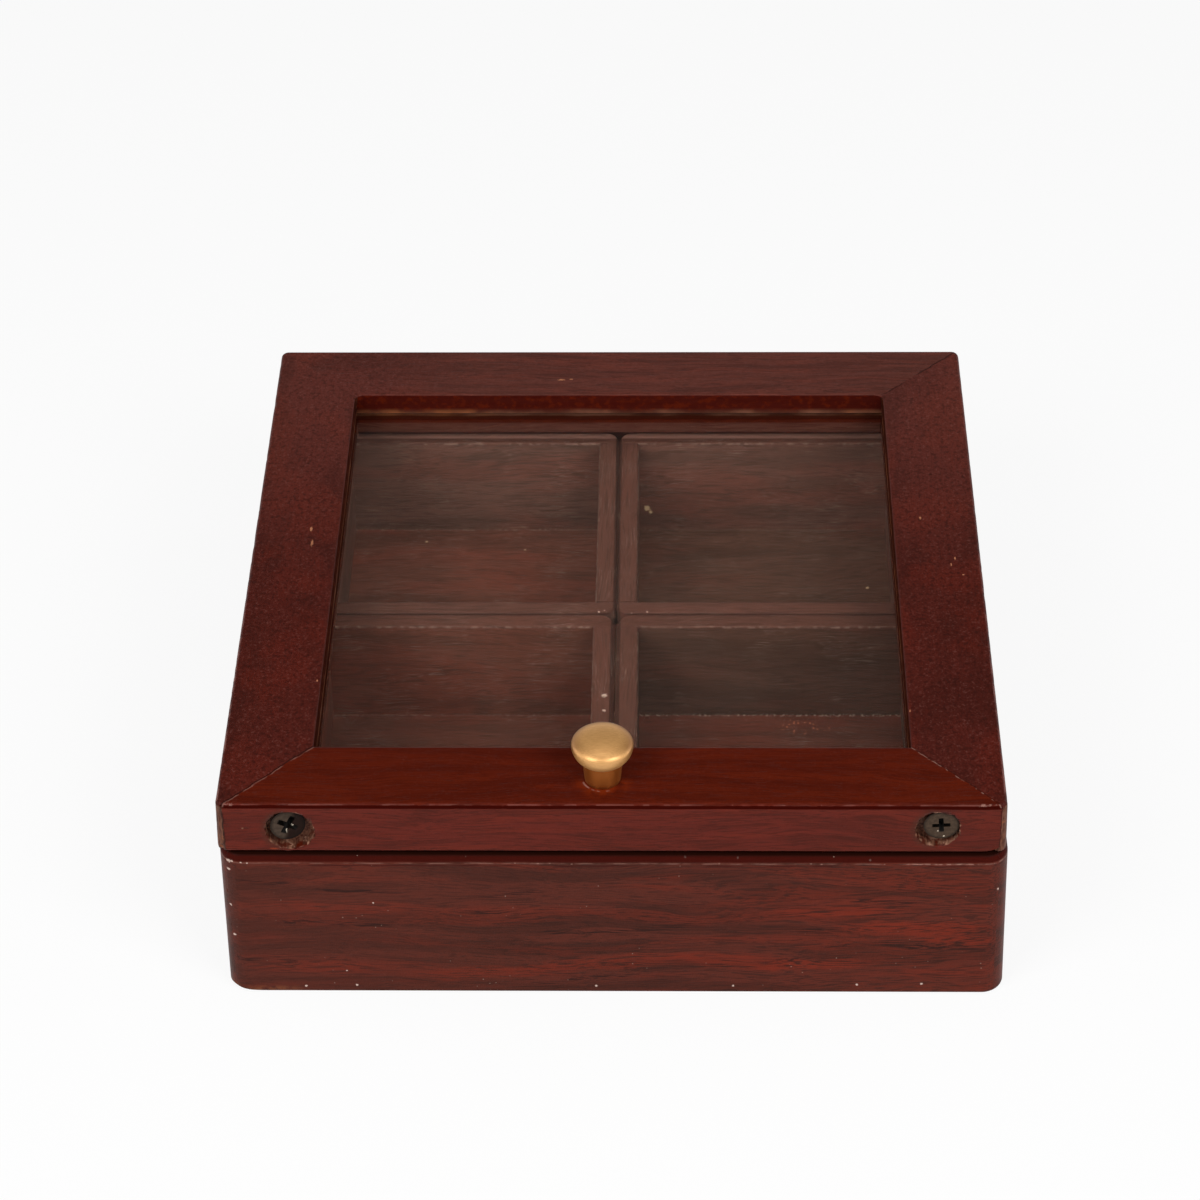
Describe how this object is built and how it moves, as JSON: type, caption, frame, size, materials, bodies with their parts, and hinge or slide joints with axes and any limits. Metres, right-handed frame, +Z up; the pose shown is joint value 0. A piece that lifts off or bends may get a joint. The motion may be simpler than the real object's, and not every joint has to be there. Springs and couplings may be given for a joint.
{
  "type": "wooden storage box",
  "caption": "Square wooden storage box with a hinged glazed lid, a turned brass knob at the front and loose lift-out trays that divide the inside.",
  "frame": {"origin": "middle of the box's underside, on the surface it stands on", "axes": "+X to the right seen from the front, +Y from the knob to the hinges, +Z up"},
  "size_m": [0.155, 0.1566, 0.0609],
  "materials": {
    "base_wood": "red-brown stain and satin lacquer, grain along the board",
    "lid_wood": "red-brown stain and satin lacquer, grain along the board",
    "tray_wood": "thin brown stain, unlacquered",
    "floor_board": "thin brown stain",
    "pane": "clear flat glass",
    "knob_brass": "satin turned brass",
    "hinge_brass": "dull brass plate",
    "screw_steel": "dark oxidised steel"
  },
  "bodies": {
    "base": {"base_front_wall": "base_wood", "base_back_wall": "base_wood", "base_left_wall": "base_wood", "base_right_wall": "base_wood", "base_floor": "floor_board", "left_hinge_base_leaf": "hinge_brass", "left_hinge_pin": "hinge_brass", "left_hinge_base_screws": "hinge_brass", "right_hinge_base_leaf": "hinge_brass", "right_hinge_pin": "hinge_brass", "right_hinge_base_screws": "hinge_brass"},
    "lid": {"lid_front_rail": "lid_wood", "lid_back_rail": "lid_wood", "lid_left_stile": "lid_wood", "lid_right_stile": "lid_wood", "lid_glass": "pane", "knob": "knob_brass", "knob_screw": "screw_steel", "lid_left_corner_screw": "screw_steel", "lid_right_corner_screw": "screw_steel", "left_hinge_lid_leaf": "hinge_brass", "left_hinge_lid_screws": "hinge_brass", "right_hinge_lid_leaf": "hinge_brass", "right_hinge_lid_screws": "hinge_brass"},
    "front_left_tray": {"front_left_tray_front": "tray_wood", "front_left_tray_back": "tray_wood", "front_left_tray_left": "tray_wood", "front_left_tray_right": "tray_wood", "front_left_tray_bottom": "tray_wood"},
    "front_right_tray": {"front_right_tray_front": "tray_wood", "front_right_tray_back": "tray_wood", "front_right_tray_left": "tray_wood", "front_right_tray_right": "tray_wood", "front_right_tray_bottom": "tray_wood"},
    "back_left_tray": {"back_left_tray_front": "tray_wood", "back_left_tray_back": "tray_wood", "back_left_tray_left": "tray_wood", "back_left_tray_right": "tray_wood", "back_left_tray_bottom": "tray_wood"},
    "back_right_tray": {"back_right_tray_front": "tray_wood", "back_right_tray_back": "tray_wood", "back_right_tray_left": "tray_wood", "back_right_tray_right": "tray_wood", "back_right_tray_bottom": "tray_wood"}
  },
  "joints": [
    {"name": "lid_hinge", "type": "hinge", "parent": "base", "child": "lid", "pos_m": [0, 0.0782, 0.03765], "axis": [-1, 0, 0], "range_deg": [0, 180]},
    {"name": "front_left_tray_lift", "type": "slide", "parent": "base", "child": "front_left_tray", "axis": [0, 0, 1], "range_m": [0, 0.0035]},
    {"name": "front_right_tray_lift", "type": "slide", "parent": "base", "child": "front_right_tray", "axis": [0, 0, 1], "range_m": [0, 0.0035]},
    {"name": "back_left_tray_lift", "type": "slide", "parent": "base", "child": "back_left_tray", "axis": [0, 0, 1], "range_m": [0, 0.0035]},
    {"name": "back_right_tray_lift", "type": "slide", "parent": "base", "child": "back_right_tray", "axis": [0, 0, 1], "range_m": [0, 0.0035]}
  ]
}
